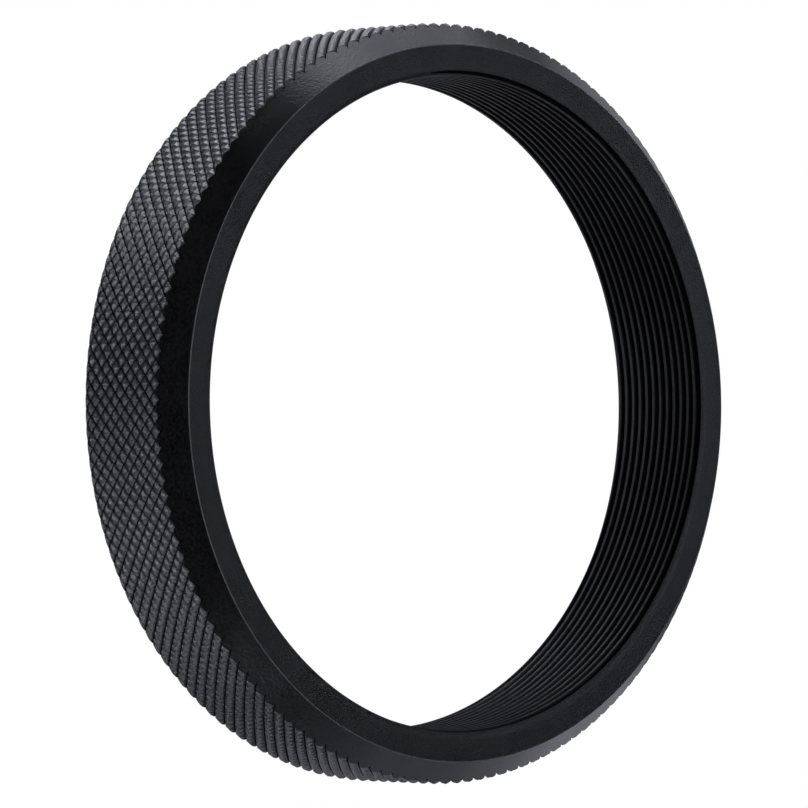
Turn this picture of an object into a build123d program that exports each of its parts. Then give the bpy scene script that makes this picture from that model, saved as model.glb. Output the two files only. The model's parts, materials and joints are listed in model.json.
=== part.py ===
"""Screw-in ring hood for a camera lens, turned from one piece of aluminium bar.

Units are millimetres. The optical axis is Y and +Z is up. The origin is the
centre of the rear face, which seats against the lens and looks along +Y. The
front face looks along -Y, towards the subject.

Outside, from front to rear, the ring has a flat front face, a chamfer a
little steeper than 45 degrees and a knurled grip band that runs to the rear
face. Inside, an M49 x 0.75 thread runs from end to end between the two
chamfered mouths of the bore.
"""

from build123d import *

import math
import os

# Driving dimensions
RING_LENGTH = 9.9
GRIP_RADIUS = 28.1  # over the tips of the knurl
FRONT_CHAMFER = 1.68  # along the radius
FRONT_CHAMFER_LENGTH = 1.8  # along the axis
REAR_EDGE_BREAK = 0.3  # takes the burr off the knurl at the rear face
THREAD_MAJOR_RADIUS = 24.5  # M49
THREAD_PITCH = 0.75
FRONT_MOUTH_RADIUS = 24.95  # both mouths open past the major radius
FRONT_MOUTH_DEPTH = 0.5
REAR_MOUTH_RADIUS = 25.02
REAR_MOUTH_DEPTH = 1.04

# ISO metric internal thread, from its 60 degree triangle
TRIANGLE_HEIGHT = THREAD_PITCH * math.sqrt(3) / 2
THREAD_DEPTH = TRIANGLE_HEIGHT * 5 / 8
THREAD_MINOR_RADIUS = THREAD_MAJOR_RADIUS - THREAD_DEPTH
CREST_FLAT = THREAD_PITCH / 4  # metal left at the minor radius
ROOT_FLAT = THREAD_PITCH / 8  # floor of a groove at the major radius
FLANK = (THREAD_PITCH - CREST_FLAT - ROOT_FLAT) / 2  # one flank, along the axis

FRONT_Y = -RING_LENGTH
THREAD_FRONT_Y = FRONT_Y + FRONT_MOUTH_DEPTH
THREAD_REAR_Y = -REAR_MOUTH_DEPTH


def outside_outline():
    """Points (radius, y) from the front mouth of the bore round to the rear mouth."""
    return [
        (FRONT_MOUTH_RADIUS, FRONT_Y),
        (GRIP_RADIUS - FRONT_CHAMFER, FRONT_Y),
        (GRIP_RADIUS, FRONT_Y + FRONT_CHAMFER_LENGTH),
        (GRIP_RADIUS, -REAR_EDGE_BREAK),
        (GRIP_RADIUS - REAR_EDGE_BREAK, 0),
        (REAR_MOUTH_RADIUS, 0),
    ]


def thread_outline():
    """Points (radius, y) of the threaded wall, from the rear mouth to the front one.

    The thread is cut as separate ring grooves, a pitch apart and centred
    between the two mouths, with whole crests left at both ends.
    """
    threaded_length = THREAD_REAR_Y - THREAD_FRONT_Y
    grooves = int((threaded_length - CREST_FLAT) / THREAD_PITCH)
    grooved_length = grooves * THREAD_PITCH - CREST_FLAT
    first_y = (THREAD_REAR_Y + THREAD_FRONT_Y + grooved_length) / 2
    points = [(THREAD_MINOR_RADIUS, THREAD_REAR_Y)]
    for n in range(grooves):
        start_y = first_y - n * THREAD_PITCH
        points += [
            (THREAD_MINOR_RADIUS, start_y),
            (THREAD_MAJOR_RADIUS, start_y - FLANK),
            (THREAD_MAJOR_RADIUS, start_y - FLANK - ROOT_FLAT),
            (THREAD_MINOR_RADIUS, start_y - 2 * FLANK - ROOT_FLAT),
        ]
    points.append((THREAD_MINOR_RADIUS, THREAD_FRONT_Y))
    return points


def hood_ring():
    """The whole hood: its half section, turned about the optical axis."""
    with BuildPart() as ring:
        with BuildSketch(Plane.XY):
            with BuildLine():
                Polyline(*outside_outline(), *thread_outline(), close=True)
            make_face()
        revolve(axis=Axis.Y)
    return ring.part


os.makedirs("parts", exist_ok=True)
export_step(hood_ring(), "parts/hood_ring.step")
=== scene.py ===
"""Looks of the screw-in ring hood: one machined ring with a diamond knurl and a helical thread.

The ring is one closed mesh, worked out in millimetres on a cylinder about the
optical axis (Y) and scaled to metres at the end. Each surface is a sheet of
triangles whose points are (turn, y, radius), where turn is the angle about
the axis, from +X, clockwise as seen from the front.
"""

import json
import math

import bpy
import numpy as np
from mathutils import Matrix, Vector


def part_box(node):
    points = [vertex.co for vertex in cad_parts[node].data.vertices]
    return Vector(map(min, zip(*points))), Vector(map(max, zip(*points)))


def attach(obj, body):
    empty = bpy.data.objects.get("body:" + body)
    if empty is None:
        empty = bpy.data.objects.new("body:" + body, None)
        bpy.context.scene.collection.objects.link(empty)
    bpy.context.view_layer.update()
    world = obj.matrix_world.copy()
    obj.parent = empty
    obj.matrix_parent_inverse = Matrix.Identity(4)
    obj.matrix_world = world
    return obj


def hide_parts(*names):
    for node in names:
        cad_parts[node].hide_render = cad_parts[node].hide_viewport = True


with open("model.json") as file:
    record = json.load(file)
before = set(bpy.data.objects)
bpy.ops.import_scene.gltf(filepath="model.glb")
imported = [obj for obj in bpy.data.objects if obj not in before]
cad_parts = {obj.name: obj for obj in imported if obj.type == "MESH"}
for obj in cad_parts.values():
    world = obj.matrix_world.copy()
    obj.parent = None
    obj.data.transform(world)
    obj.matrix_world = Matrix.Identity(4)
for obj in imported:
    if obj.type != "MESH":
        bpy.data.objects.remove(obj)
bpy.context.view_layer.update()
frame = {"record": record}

MM = 0.001
FULL_TURN = 2 * math.pi

# Sizes that the frame holds, in millimetres
ring_low, ring_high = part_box("hood_ring")
mounts = {mount["name"]: mount for mount in frame["record"]["mounts"]}
GRIP_RADIUS = round(ring_high.x / MM, 2)
FRONT_Y = round(ring_low.y / MM, 2)
THREAD_MINOR_RADIUS = mounts["rear_thread"]["dims"]["r_mm"]

# Turned outline
FRONT_CHAMFER = 1.68
FRONT_CHAMFER_LENGTH = 1.8
REAR_EDGE_BREAK = 0.3
CREST_RADIUS = THREAD_MINOR_RADIUS + 0.05  # the crests, in the middle of their tolerance
FRONT_MOUTH = 24.95  # where the bore's front edge starts to round over
FRONT_MOUTH_DEPTH = 0.5
FRONT_MOUTH_CUTS = (0.02, 0.06, 0.11, 0.17, 0.25, 0.36, 0.5)  # depths of its rings of points
REAR_MOUTH = 25.02
REAR_MOUTH_DEPTH = 1.04
CORNER_RADIUS = 0.1  # what the finishing leaves on each turned corner
CORNER_STEPS = 4
CORNER_MARGIN = 0.01  # left between the rear mouth's cone and its rounded corner
FACE_INSET = 0.5  # from the chamfer to a ring of points on the face
MOUTH_STEPS = 5
SMOOTH_SEGMENTS = 720  # round each turned circle

# Diamond knurl: two crossing families of steep grooves between low, four-sided pyramids
KNURL_TEETH = 152  # grooves of one family round the ring
KNURL_AXIAL_PITCH = 1.107
KNURL_DEPTH = 0.38
KNURL_FACET = 0.48  # how much of the depth lies in the even slope of the facets
KNURL_GROOVE = 8  # the power by which the rest falls away, close to the grooves
KNURL_SOFTNESS = 0.15  # how far the shading rounds a pyramid's four ridges
KNURL_LEVELS = (0.07, 0.34, 0.44, 0.5)  # squares of points about a tip, in pitches
KNURL_SHIFT = -0.09  # y of one row of tips
KNURL_RUN_OUT = 1.1  # how far the grooves can reach onto the chamfer, in knurl depths
KNURL_MARGIN = 0.1  # the plain chamfer kept with the grip past that

# Thread: M49 x 0.75, right-hand
THREAD_PITCH = 0.75
THREAD_ROOT_RADIUS = 24.5
THREAD_START = -5.54  # where a crest crosses turn = 0
THREAD_SEGMENTS = 360
THREAD_SHOULDER = 0.6  # the share of a flank that is worn round, next to the crest
CREST_LEAN = 15  # how far the shading rounds a crest's edges, in degrees
FLANK_LEAN = 60  # how far a flank's normal leans along the axis, in degrees
ROOT_WIDTH = 1 / 8  # in pitches

# ---------------------------------------------------------------- sheets


class Sheet:
    """Triangles on a cylinder: points (turn, y, radius), corners, and corner normals.

    A corner normal is (radial, axial, along the turn).
    """

    def __init__(self, points, triangles, normals, material):
        self.points = np.asarray(points, float)
        self.triangles = np.asarray(triangles, int).reshape(-1, 3)
        self.normals = np.broadcast_to(
            np.asarray(normals, float), (len(self.triangles), 3, 3)
        ).copy()
        self.material = np.full(len(self.triangles), material)

    def cut(self, values):
        """Splits the triangles along values = 0. Returns True for each one above it."""
        snapped = np.where(np.abs(values) < CUT_SNAP, 0.0, values)
        signs = np.sign(snapped)[self.triangles]
        whole_above = (signs >= 0).all(1)
        whole_below = (signs <= 0).all(1) & ~whole_above
        mixed = np.flatnonzero(~whole_above & ~whole_below)
        points, crossings = [], {}

        def crossing(a, b):
            key = (min(a, b), max(a, b))
            if key not in crossings:
                low, high = key
                share = snapped[low] / (snapped[low] - snapped[high])
                crossings[key] = len(self.points) + len(points)
                points.append(self.points[low] + share * (self.points[high] - self.points[low]))
            return crossings[key]

        parts, sources, weights, sides = [], [], [], []
        corner_weights = np.eye(3)
        for t in mixed:
            corners = self.triangles[t]
            for side in (1, -1):
                outline = []
                for n in range(3):
                    m = (n + 1) % 3
                    here, there = snapped[corners[n]], snapped[corners[m]]
                    if here * side >= 0:
                        outline.append((corners[n], corner_weights[n]))
                    if here * there < 0:
                        share = here / (here - there)
                        mixture = (1 - share) * corner_weights[n] + share * corner_weights[m]
                        outline.append((crossing(corners[n], corners[m]), mixture))
                for n in range(1, len(outline) - 1):
                    chosen = (outline[0], outline[n], outline[n + 1])
                    parts.append([point for point, _ in chosen])
                    weights.append([weight for _, weight in chosen])
                    sources.append(t)
                    sides.append(side > 0)
        whole = np.flatnonzero(whole_above | whole_below)
        above = whole_above[whole]
        if parts:
            split_normals = np.array(weights) @ self.normals[sources]
            self.points = np.vstack([self.points, points])
            self.triangles = np.vstack([self.triangles[whole], parts])
            self.normals = np.concatenate([self.normals[whole], split_normals])
            self.material = np.concatenate([self.material[whole], self.material[sources]])
            above = np.concatenate([above, sides])
        else:
            self.keep(whole)
        return above

    def keep(self, chosen):
        self.triangles = self.triangles[chosen]
        self.normals = self.normals[chosen]
        self.material = self.material[chosen]

    def trim(self, low_y, high_y):
        """Keeps only what lies between two planes square to the axis."""
        self.keep(self.cut(self.points[:, 1] - low_y))
        self.keep(self.cut(high_y - self.points[:, 1]))

    def turn_to(self, radius_at, normal, material, outside):
        """Turns the sheet down to radius_at(y) wherever it stands in that cut's way.

        normal is one corner normal, or gives one for each y. outside says
        whether the metal is inside the sheet, as on the grip, or outside it,
        as in the bore.
        """
        limit = radius_at(self.points[:, 1])
        excess = self.points[:, 2] - limit
        turned = self.cut(excess if outside else -excess)
        moved = np.unique(self.triangles[turned])
        self.points[moved, 2] = radius_at(self.points[moved, 1])
        corner_y = self.points[self.triangles[turned], 1]
        self.normals[turned] = normal(corner_y) if callable(normal) else normal
        self.material[turned] = material

    def edge_at(self, y):
        """The points of the sheet's rim in the plane y, in order of turn."""
        used = np.unique(self.triangles)
        rim = self.points[used[np.abs(self.points[used, 1] - y) < CUT_SNAP]]
        rim = rim.copy()
        rim[:, 0] %= FULL_TURN
        rim[np.abs(rim[:, 0] - FULL_TURN) < SAME_TURN, 0] = 0.0
        rim = rim[np.argsort(rim[:, 0], kind="stable")]
        fresh = np.diff(rim[:, 0], prepend=-1) > SAME_TURN
        return rim[fresh]


CUT_SNAP = 1e-5  # a point closer to a cut than this, in millimetres, lies on it
SAME_TURN = 1e-7  # in radians


def strip(first, second, normals, material):
    """A sheet between two closed rims that have any number of points each."""
    lap = (FULL_TURN, 0, 0)
    points = np.vstack([first, first[:1] + lap, second, second[:1] + lap])
    count_a, count_b = len(first) + 1, len(second) + 1
    triangles, corner_normals = [], []
    a, b = 0, 0
    while a < count_a - 1 or b < count_b - 1:
        next_a = points[a + 1, 0] if a < count_a - 1 else math.inf
        next_b = points[count_a + b + 1, 0] if b < count_b - 1 else math.inf
        if next_a <= next_b:
            triangles.append((a, a + 1, count_a + b))
            corner_normals.append((normals[0], normals[0], normals[1]))
            a += 1
        else:
            triangles.append((a, count_a + b + 1, count_a + b))
            corner_normals.append((normals[0], normals[1], normals[1]))
            b += 1
    return Sheet(points, triangles, np.array(corner_normals), material)


def circle(radius, y):
    turns = np.arange(SMOOTH_SEGMENTS) * FULL_TURN / SMOOTH_SEGMENTS
    return np.column_stack([turns, np.full_like(turns, y), np.full_like(turns, radius)])


# --------------------------------------------------------- grip and bore


def front_cone(y):
    return GRIP_RADIUS - FRONT_CHAMFER + FRONT_CHAMFER * (y - FRONT_Y) / FRONT_CHAMFER_LENGTH


def rear_cone(y):
    return GRIP_RADIUS - REAR_EDGE_BREAK - y


def front_mouth(angle):
    """The rounded front edge of the bore, from the face (0) to the crests (90 degrees).

    It is a quarter of an ellipse, given as radius, y and corner normal.
    """
    width = FRONT_MOUTH - CREST_RADIUS
    radius = FRONT_MOUTH - width * np.sin(angle)
    y = FRONT_Y + FRONT_MOUTH_DEPTH * (1 - np.cos(angle))
    inward, forward = np.sin(angle) / width, np.cos(angle) / FRONT_MOUTH_DEPTH
    length = np.hypot(inward, forward)
    return radius, y, np.stack([-inward / length, -forward / length, 0 * length], -1)


def mouth_angle(y):
    return np.arccos(np.clip(1 - (y - FRONT_Y) / FRONT_MOUTH_DEPTH, 0, 1))


def rear_lead_in(y):
    return REAR_MOUTH + (REAR_MOUTH - CREST_RADIUS) * y / REAR_MOUTH_DEPTH


SQUARE = np.array([(-1, -1), (1, -1), (1, 1), (-1, 1)], float)  # a pyramid's corners (p, q)


def pyramid():
    """One pyramid of the knurl: offsets (p, q), depths, triangles and normals.

    p and q run across the two families of grooves, in pitches. The points
    stand on squares about the tip, and neighbours share the outer square. The
    normals, (radial, axial, along the turn), are given for each corner.
    """
    offsets = np.vstack([SQUARE * size for size in KNURL_LEVELS])
    reach = 2 * np.abs(offsets).max(1)
    falls = KNURL_FACET * reach + (1 - KNURL_FACET) * reach**KNURL_GROOVE
    depths = KNURL_DEPTH * (falls - falls[0]) / (1 - falls[0])
    faces = [(0, 1, 2), (0, 2, 3)]
    for inner in range(0, len(offsets) - 4, 4):
        for n in range(4):
            m = (n + 1) % 4
            faces.append((inner + n, inner + 4 + n, inner + 4 + m))
            faces.append((inner + n, inner + 4 + m, inner + m))
    faces = np.array(faces)
    flat = np.column_stack([
        -depths,
        (offsets[:, 0] - offsets[:, 1]) * KNURL_AXIAL_PITCH / 2,
        (offsets[:, 0] + offsets[:, 1]) * math.pi / KNURL_TEETH * GRIP_RADIUS,
    ])
    a, b, c = (flat[faces[:, n]] for n in range(3))
    leans = np.cross(b - a, c - a)
    leans *= np.sign(leans[:, :1])
    rounded_normals = np.zeros_like(flat)
    for n in range(3):
        np.add.at(rounded_normals, faces[:, n], leans)
    flat_share = (1 - KNURL_SOFTNESS) * unit(leans)[:, None]
    normals = flat_share + KNURL_SOFTNESS * unit(rounded_normals)[faces]
    return offsets, depths, faces, unit(normals)


def unit(vectors):
    return vectors / np.linalg.norm(vectors, axis=-1, keepdims=True)


def knurl_sheet():
    """The grip's pyramids, each with its share of the grooves around it, whose walls get a
    darker, duller material as painted shade.
    """
    offsets, depths, faces, normals = pyramid()
    row_step = KNURL_AXIAL_PITCH / 2
    rows = range(math.floor((FRONT_Y - KNURL_SHIFT) / row_step) - 1,
                 math.ceil(-KNURL_SHIFT / row_step) + 2)
    points = []
    for row in rows:
        for n in range(KNURL_TEETH):
            along = 2 * n + row % 2
            p = (along + row) / 2 + offsets[:, 0]
            q = (along - row) / 2 + offsets[:, 1]
            turn = (p + q) * math.pi / KNURL_TEETH
            y = (p - q) * row_step + KNURL_SHIFT
            points.append(np.column_stack([turn, y, GRIP_RADIUS - depths]))
    starts = np.arange(len(points)) * len(offsets)
    triangles = (faces[None] + starts[:, None, None]).reshape(-1, 3)
    corner_normals = np.tile(normals, (len(points), 1, 1))
    sheet = Sheet(np.vstack(points), triangles, corner_normals, KNURL)
    # The steep groove walls take a near-black, low-gloss material: painted shade in the grooves.
    groove_shade_faces = faces.max(1) >= len(offsets) - len(SQUARE)
    sheet.material[np.tile(groove_shade_faces, len(points))] = GROOVE_SHADE
    return sheet


def thread_sheet():
    """The bore's wall: a single groove with 60 degree flanks, wound along the helix."""
    depth = THREAD_ROOT_RADIUS - CREST_RADIUS
    flank = depth * math.tan(math.radians(90 - FLANK_LEAN)) / THREAD_PITCH
    crest = 1 - ROOT_WIDTH - 2 * flank
    # Each strip across the groove: its width in pitches, the depth that it
    # starts at, and how far the normal leans along the axis at its two edges
    strips = [
        (crest, 0, -CREST_LEAN, CREST_LEAN),
        (flank * THREAD_SHOULDER, 0, CREST_LEAN, FLANK_LEAN),
        (flank * (1 - THREAD_SHOULDER), depth * THREAD_SHOULDER, FLANK_LEAN, FLANK_LEAN),
        (ROOT_WIDTH, depth, 0, 0),
        (flank * (1 - THREAD_SHOULDER), depth, -FLANK_LEAN, -FLANK_LEAN),
        (flank * THREAD_SHOULDER, depth * THREAD_SHOULDER, -FLANK_LEAN, -CREST_LEAN),
    ]
    widths = [strip[0] for strip in strips]
    starts = np.concatenate([[0], np.cumsum(widths)[:-1]]) - crest / 2
    first = math.floor((FRONT_Y - THREAD_START) / THREAD_PITCH) - 2
    last = math.ceil(-THREAD_START / THREAD_PITCH) + 1
    turns = np.arange(THREAD_SEGMENTS + 1) * FULL_TURN / THREAD_SEGMENTS
    points = np.array([
        (turn, THREAD_START + THREAD_PITCH * (whole + start + turn / FULL_TURN),
         CREST_RADIUS + strip[1])
        for whole in range(first, last) for start, strip in zip(starts, strips) for turn in turns
    ])
    columns = len(turns)
    triangles, normals = [], []
    for row in range((last - first) * len(strips) - 1):
        leans = [math.radians(lean) for lean in strips[row % len(strips)][2:]]
        here, there = [(-math.cos(lean), math.sin(lean), 0) for lean in leans]
        for column in range(THREAD_SEGMENTS):
            a = row * columns + column
            triangles += [(a, a + 1, a + columns), (a + 1, a + columns + 1, a + columns)]
            normals += [(here, here, there), (here, there, there)]
    return Sheet(points, triangles, np.array(normals), BORE)


STRAIGHT = 1e-6  # a corner that turns less than this, in radians, is left alone


def rounded(corners, first_normal):
    """A turned outline through corners, each inner one rounded, as (radius, y, normal)."""
    corners = [np.array(c, float) for c in corners]
    out = []
    for n, corner in enumerate(corners):
        into = corner - corners[n - 1] if n else corners[1] - corner
        away = corners[n + 1] - corner if n < len(corners) - 1 else into
        into, away = into / np.linalg.norm(into), away / np.linalg.norm(away)
        angle = math.atan2(into[0] * away[1] - into[1] * away[0], into @ away)
        if abs(angle) < STRAIGHT:
            out.append((corner, into))
            continue
        reach = CORNER_RADIUS * math.tan(abs(angle) / 2)
        start = corner - reach * into
        side = np.array([-into[1], into[0]]) * math.copysign(1, angle)
        centre = start + CORNER_RADIUS * side
        for k in range(CORNER_STEPS + 1):
            a = angle * k / CORNER_STEPS
            turn = np.array([[math.cos(a), -math.sin(a)], [math.sin(a), math.cos(a)]])
            out.append((centre + turn @ (start - centre), turn @ into))
    return [(p[0], p[1], (t[1] * first_normal, -t[0] * first_normal, 0)) for p, t in out]


def turned_strips(outline, materials, first_rim, last_rim):
    """Sheets along an outline of (radius, y, normal), ending on two given rims."""
    rims = [first_rim] + [circle(r, y) for r, y, _ in outline[1:-1]] + [last_rim]
    return [
        strip(rims[n], rims[n + 1], (outline[n][2], outline[n + 1][2]), materials[n])
        for n in range(len(rims) - 1)
    ]


KNURL, CHAMFER, FACE, BORE, EDGE, GROOVE_SHADE = range(6)


def ring_sheets():
    grip = knurl_sheet()
    slope = math.sqrt(0.5)
    chamfer_lean = math.atan2(FRONT_CHAMFER, FRONT_CHAMFER_LENGTH)
    chamfer_normal = (math.cos(chamfer_lean), -math.sin(chamfer_lean), 0)
    knurl_front = FRONT_Y + FRONT_CHAMFER_LENGTH - KNURL_DEPTH * KNURL_RUN_OUT - KNURL_MARGIN
    grip.turn_to(front_cone, chamfer_normal, CHAMFER, outside=True)
    grip.turn_to(rear_cone, (slope, slope, 0), CHAMFER, outside=True)
    grip.trim(knurl_front, 0.0)

    bore = thread_sheet()
    for depth in FRONT_MOUTH_CUTS:
        bore.cut(bore.points[:, 1] - (FRONT_Y + depth))
    mouth = FRONT_Y + FRONT_MOUTH_CUTS[0]
    rear_lean = math.atan2(REAR_MOUTH_DEPTH, REAR_MOUTH - CREST_RADIUS)
    rear_normal = (-math.sin(rear_lean), math.cos(rear_lean), 0)
    rear_mouth = -CORNER_RADIUS * math.tan(rear_lean / 2) * math.sin(rear_lean) - CORNER_MARGIN
    bore.turn_to(lambda y: front_mouth(mouth_angle(y))[0],
                 lambda y: front_mouth(mouth_angle(y))[2], FACE, outside=False)
    bore.turn_to(rear_lead_in, rear_normal, FACE, outside=False)
    bore.trim(mouth, rear_mouth)

    arc = [front_mouth(a) for a in np.linspace(mouth_angle(mouth), 0, MOUTH_STEPS)]
    front = arc + rounded(
        [
            (front_cone(FRONT_Y) - FACE_INSET, FRONT_Y),
            (front_cone(FRONT_Y), FRONT_Y),
            (front_cone(knurl_front), knurl_front),
        ],
        1,
    )
    rear = rounded(
        [
            (rear_lead_in(rear_mouth), rear_mouth),
            (rear_lead_in(0.0), 0.0),
            (rear_cone(0.0), 0.0),
        ],
        -1,
    )
    face_strips = MOUTH_STEPS + 1
    edge_strips = len(front) - 2 - face_strips
    # The rounded corner between face and chamfer (EDGE) gets a pale grey: painted highlight.
    front_materials = [FACE] * face_strips + [EDGE] * edge_strips + [CHAMFER]
    rear_materials = [FACE] * (len(rear) - 1)
    sheets = [grip, bore]
    sheets += turned_strips(front, front_materials, bore.edge_at(mouth),
                            grip.edge_at(knurl_front))
    sheets += turned_strips(rear, rear_materials, bore.edge_at(rear_mouth), grip.edge_at(0.0))
    return sheets


def facing_normals(places, triangles):
    """The unit normal of each triangle, by its winding."""
    a, b, c = (places[triangles[:, n]] for n in range(3))
    normals = np.cross(b - a, c - a)
    return normals / np.maximum(np.linalg.norm(normals, axis=1, keepdims=True), 1e-30)


def placed(sheet):
    """A sheet in space: points, triangles wound outwards, and corner normals."""
    turn, y, radius = sheet.points.T
    places = np.column_stack([radius * np.cos(turn), y, -radius * np.sin(turn)])
    triangles = sheet.triangles
    cosines, sines = np.cos(turn[triangles]), np.sin(turn[triangles])
    radial, axial, along = np.moveaxis(sheet.normals, -1, 0)
    normals = np.stack(
        [radial * cosines - along * sines, axial, -radial * sines - along * cosines], -1
    )
    if (facing_normals(places, triangles) * normals.sum(1)).sum() < 0:
        triangles, normals = triangles[:, ::-1], normals[:, ::-1]
    return places, triangles, normals


def weld(sheets):
    """One closed mesh from the sheets: vertices, triangles, corner normals and materials."""
    parts = [placed(sheet) for sheet in sheets]
    shifts = np.cumsum([0] + [len(places) for places, _, _ in parts[:-1]])
    places = np.vstack([part[0] for part in parts])
    triangles = np.vstack([part[1] + shift for part, shift in zip(parts, shifts)])
    normals = np.concatenate([part[2] for part in parts])
    material = np.concatenate([sheet.material for sheet in sheets])

    used, triangles = np.unique(triangles, return_inverse=True)
    places, triangles = places[used], triangles.reshape(-1, 3)
    _, first, same = np.unique(
        np.round(places / WELD_GRID), axis=0, return_index=True, return_inverse=True
    )
    triangles = same.ravel()[triangles]
    distinct = (triangles != np.roll(triangles, 1, axis=1)).all(1)
    return places[first] * MM, triangles[distinct], normals[distinct], material[distinct]


WELD_GRID = 1e-6  # in millimetres


def ring_mesh(name):
    vertices, triangles, normals, material = weld(ring_sheets())
    mesh = bpy.data.meshes.new(name)
    mesh.from_pydata(vertices.tolist(), [], triangles.tolist())
    mesh.polygons.foreach_set("material_index", material.astype(np.int32))
    mesh.polygons.foreach_set("use_smooth", np.ones(len(triangles), bool))
    mesh.update()
    mesh.normals_split_custom_set(normals.reshape(-1, 3).tolist())
    return mesh


# ------------------------------------------------------------- materials


def nodes_of(name):
    material = bpy.data.materials.new(name)
    material.use_nodes = True
    tree = material.node_tree
    tree.nodes.clear()
    output = tree.nodes.new("ShaderNodeOutputMaterial")
    shader = tree.nodes.new("ShaderNodeBsdfPrincipled")
    tree.links.new(shader.outputs["BSDF"], output.inputs["Surface"])
    return material, tree, shader


PATCH_MM = 2.5  # the size of the slight changes of gloss over a surface
PATCH_SWING = 0.03  # and how far the roughness goes up and down with them
NOISE_RANGE = (0.3, 0.7)  # what a noise texture mostly keeps within
OXIDE_IOR = 1.6


def anodised(name, dark, light, roughness, grain_mm, grain_height, gloss=0.5):
    """Black anodised aluminium: a dyed oxide over metal that was blasted or turned.

    Grain is the fine relief of the surface, paler on its heights. Gloss is the shader's specular
    level; it is set low on the thread and on the knurl's groove walls as painted shade.
    """
    material, tree, shader = nodes_of(name)
    new, link = tree.nodes.new, tree.links.new
    place = new("ShaderNodeTexCoord")

    def noise(size_mm, detail):
        node = new("ShaderNodeTexNoise")
        node.inputs["Scale"].default_value = 1 / (size_mm * MM)
        node.inputs["Detail"].default_value = detail
        link(place.outputs["Object"], node.inputs["Vector"])
        return node.outputs["Fac"]

    def spread(source, low, high):
        node = new("ShaderNodeMapRange")
        node.inputs["From Min"].default_value = NOISE_RANGE[0]
        node.inputs["From Max"].default_value = NOISE_RANGE[1]
        node.inputs["To Min"].default_value = low
        node.inputs["To Max"].default_value = high
        link(source, node.inputs["Value"])
        return node.outputs["Result"]

    patches = noise(PATCH_MM, 3.0)
    grain = noise(grain_mm, 2.0)
    colour = new("ShaderNodeMix")
    colour.data_type = "RGBA"
    colour.inputs["A"].default_value = (*dark, 1)
    colour.inputs["B"].default_value = (*light, 1)
    link(spread(grain, 0.0, 1.0), colour.inputs["Factor"])
    link(colour.outputs["Result"], shader.inputs["Base Color"])
    rough = spread(patches, roughness - PATCH_SWING, roughness + PATCH_SWING)
    link(rough, shader.inputs["Roughness"])
    bump = new("ShaderNodeBump")
    bump.inputs["Strength"].default_value = 1.0
    bump.inputs["Distance"].default_value = grain_height * MM
    link(grain, bump.inputs["Height"])
    link(bump.outputs["Normal"], shader.inputs["Normal"])
    shader.inputs["IOR"].default_value = OXIDE_IOR
    shader.inputs["Specular IOR Level"].default_value = gloss
    return material


def ring_materials():
    """One material for each kind of surface, in the order KNURL to GROOVE_SHADE; the thread's
    and the grooves' dark, dull blacks are painted shade, and the pale edge is a painted
    highlight.

    Each has its two colours, its roughness and its grain: the size and the
    height in millimetres.
    """
    deep, dark = (0.001, 0.001, 0.0015), (0.008, 0.008, 0.009)
    thread_shade_black, bevel_black = (0.004, 0.004, 0.005), (0.015, 0.015, 0.016)
    face_black, grip_black = (0.028, 0.028, 0.031), (0.03, 0.03, 0.033)
    edge_highlight_dark, edge_highlight_light = (0.17, 0.17, 0.18), (0.3, 0.3, 0.31)
    return [
        anodised("knurled_black", dark, grip_black, 0.38, 0.13, 0.06, gloss=0.74),
        anodised("turned_black", deep, bevel_black, 0.25, 0.2, 0.012),
        anodised("blasted_black", dark, face_black, 0.52, 0.13, 0.06),
        # Painted shade: the bore's black is darker and nearly glossless, standing in for the
        # shade in the thread.
        anodised("threaded_black_painted_shade", deep, thread_shade_black, 0.45, 0.15, 0.006, gloss=0.055),
        # Painted highlight: the rounded edge between face and chamfer gets this pale grey, which
        # paints the edge's thin bright line.
        anodised("edge_painted_highlight", edge_highlight_dark, edge_highlight_light, 0.3, 0.15, 0.006),
        # Painted shade: the knurl's groove walls get this near-black, dull material.
        anodised("groove_painted_shade", deep, dark, 0.5, 0.13, 0.02, gloss=0.16),
    ]


def bright_white(name):
    """An evenly lit white, the same from every side."""
    material, _, shader = nodes_of(name)
    shader.inputs["Base Color"].default_value = (0, 0, 0, 1)
    shader.inputs["Specular IOR Level"].default_value = 0.0
    shader.inputs["Emission Color"].default_value = (1, 1, 1, 1)
    shader.inputs["Emission Strength"].default_value = 1.0
    return material


# ----------------------------------------------------------------- ring

ring = bpy.data.objects.new("hood_ring_body", ring_mesh("hood_ring_body"))
bpy.context.scene.collection.objects.link(ring)
for finish in ring_materials():
    ring.data.materials.append(finish)
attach(ring, "root")
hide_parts("hood_ring")

# ---------------------------------------------------------------- camera

# The camera stands in front of the ring, to its left and just under its axis,
# and looks a little to the left of it, so that the ring sits right of centre.
# Its place and lens come from a perspective fit to the ring's edges.
FRONT_CENTRE = Vector((0, FRONT_Y * MM, 0))
CAMERA_DISTANCE = 0.5156
CAMERA_AZIMUTH = math.radians(-42.152)
CAMERA_ELEVATION = math.radians(-0.895)
LOOK_AZIMUTH = math.radians(41.6597)
LOOK_ELEVATION = math.radians(0.8866)
LENS_MM = 311.88
SENSOR_MM = 36.0


def heading(azimuth, elevation):
    """The unit vector at an azimuth clockwise from +Y and an elevation."""
    level = math.cos(elevation)
    return Vector((math.sin(azimuth) * level, math.cos(azimuth) * level, math.sin(elevation)))


camera_data = bpy.data.cameras.new("camera")
camera_data.lens = LENS_MM
camera_data.sensor_width = SENSOR_MM
camera = bpy.data.objects.new("camera", camera_data)
away = heading(-CAMERA_AZIMUTH, -CAMERA_ELEVATION)
camera.location = FRONT_CENTRE - away * CAMERA_DISTANCE
camera.rotation_euler = heading(LOOK_AZIMUTH, LOOK_ELEVATION).to_track_quat("-Z", "Y").to_euler()
bpy.context.scene.collection.objects.link(camera)
bpy.context.scene.camera = camera

# ----------------------------------------------------- floor and backdrop

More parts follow.
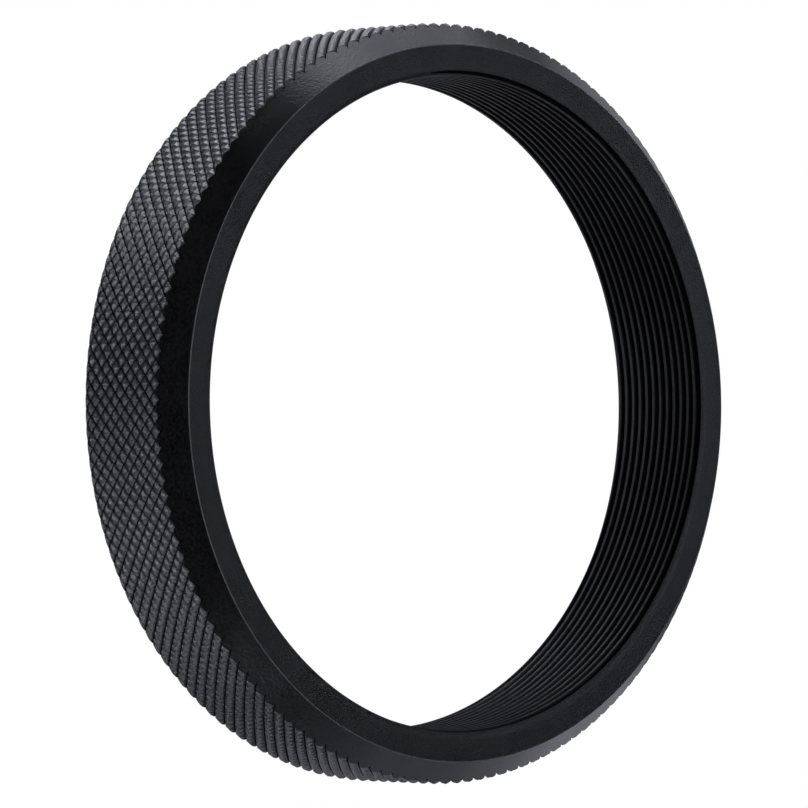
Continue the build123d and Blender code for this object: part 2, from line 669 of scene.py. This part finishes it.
FLOOR_Z = ring_low.z
STAGE_REACH = 3.0  # metres from the middle to the backdrop
SWEEP_RADIUS = 0.6
SWEEP_STEPS = 16
SWEEP_SEGMENTS = 96


def stage_sweep():
    """A pale floor that curves up into a round backdrop, all about the ring."""
    outline = [(0.0, FLOOR_Z), (STAGE_REACH - SWEEP_RADIUS, FLOOR_Z)]
    for n in range(1, SWEEP_STEPS + 1):
        a = math.pi / 2 * n / SWEEP_STEPS
        outline.append((
            STAGE_REACH - SWEEP_RADIUS + SWEEP_RADIUS * math.sin(a),
            FLOOR_Z + SWEEP_RADIUS * (1 - math.cos(a)),
        ))
    outline.append((STAGE_REACH, FLOOR_Z + STAGE_REACH))
    points, faces = [], []
    for radius, z in outline:
        for n in range(SWEEP_SEGMENTS):
            a = FULL_TURN * n / SWEEP_SEGMENTS
            points.append((radius * math.cos(a), radius * math.sin(a), z))
    for row in range(len(outline) - 1):
        for n in range(SWEEP_SEGMENTS):
            m = (n + 1) % SWEEP_SEGMENTS
            a, b = row * SWEEP_SEGMENTS, (row + 1) * SWEEP_SEGMENTS
            faces.append((a + n, b + n, b + m, a + m))
    mesh = bpy.data.meshes.new("stage_sweep")
    mesh.from_pydata(points, [], faces)
    mesh.polygons.foreach_set("use_smooth", np.ones(len(faces), bool))
    return mesh


stage = bpy.data.objects.new("stage_sweep", stage_sweep())
bpy.context.scene.collection.objects.link(stage)
stage.data.materials.append(bright_white("stage_white"))
for ray in ("visible_diffuse", "visible_glossy", "visible_shadow"):
    setattr(stage, ray, False)

# ---------------------------------------------------------------- lights


# The ring stands in the middle of a tent of soft panels, whose light is a little blue.
LIGHT_COLOUR = (0.862, 0.89, 1.0)
TENT_REACH = 0.9  # metres from the ring to a panel
TENT_PANEL = 0.39  # and a panel's diameter

# Azimuth (clockwise from +Y) and elevation of each panel in degrees, and its power in watts.
# Most of the directions are points of a generated grid, and most of the powers, here and
# below, were solved for by a least-squares program. Both were then rounded.
TENT_PANELS = {
    "left": (-83, -4, 4.2),
    "left_upper": (-98, 35, 0.42),
    "left_table": (-98, -71, 1.8),
    "top_right": (90, 82, 0.75),
    "right_high": (70, 55, 0.43),
    "right_upper": (82, 34, 0.12),
    "right_behind": (67, -19, 0.21),
    "right_low": (79, -36, 0.22),
    "right_table": (92, -60, 0.18),
    "behind": (35, -13, 0.35),
    "behind_low": (7, -55, 0.65),
    "front": (178, 4, 0.08),
    "front_table": (124, -76, 0.11),
}

# The same for the small panels close to the ring, with distance and size in metres
CLOSE_PANELS = {
    "close_top": (0, 73, 0.14, 0.16, 0.1),
    "close_top_right": (90, 80, 0.025, 0.16, 0.1),
    "close_right": (73, 16, 0.011, 0.16, 0.1),
    "close_front": (150, 5, 0.023, 0.12, 0.048),
}


def soft_light(name, azimuth, elevation, power, distance=TENT_REACH, size=TENT_PANEL):
    """A round soft light, aimed at the ring, that the camera doesn't see."""
    data = bpy.data.lights.new(name, "AREA")
    data.shape = "DISK"
    data.size = size
    data.energy = power
    data.color = LIGHT_COLOUR
    light = bpy.data.objects.new(name, data)
    toward = heading(math.radians(azimuth), math.radians(elevation))
    light.location = toward * distance
    light.rotation_euler = (-toward).to_track_quat("-Z", "Y").to_euler()
    light.visible_camera = False
    bpy.context.scene.collection.objects.link(light)


for panels in (TENT_PANELS, CLOSE_PANELS):
    for panel, setting in panels.items():
        soft_light(panel, *setting)

world = bpy.data.worlds.new("studio")
bpy.context.scene.world = world
world.use_nodes = True
world.node_tree.nodes["Background"].inputs["Color"].default_value = (1, 1, 1, 1)
world.node_tree.nodes["Background"].inputs["Strength"].default_value = 0.0

bpy.context.scene.view_settings.view_transform = "Standard"
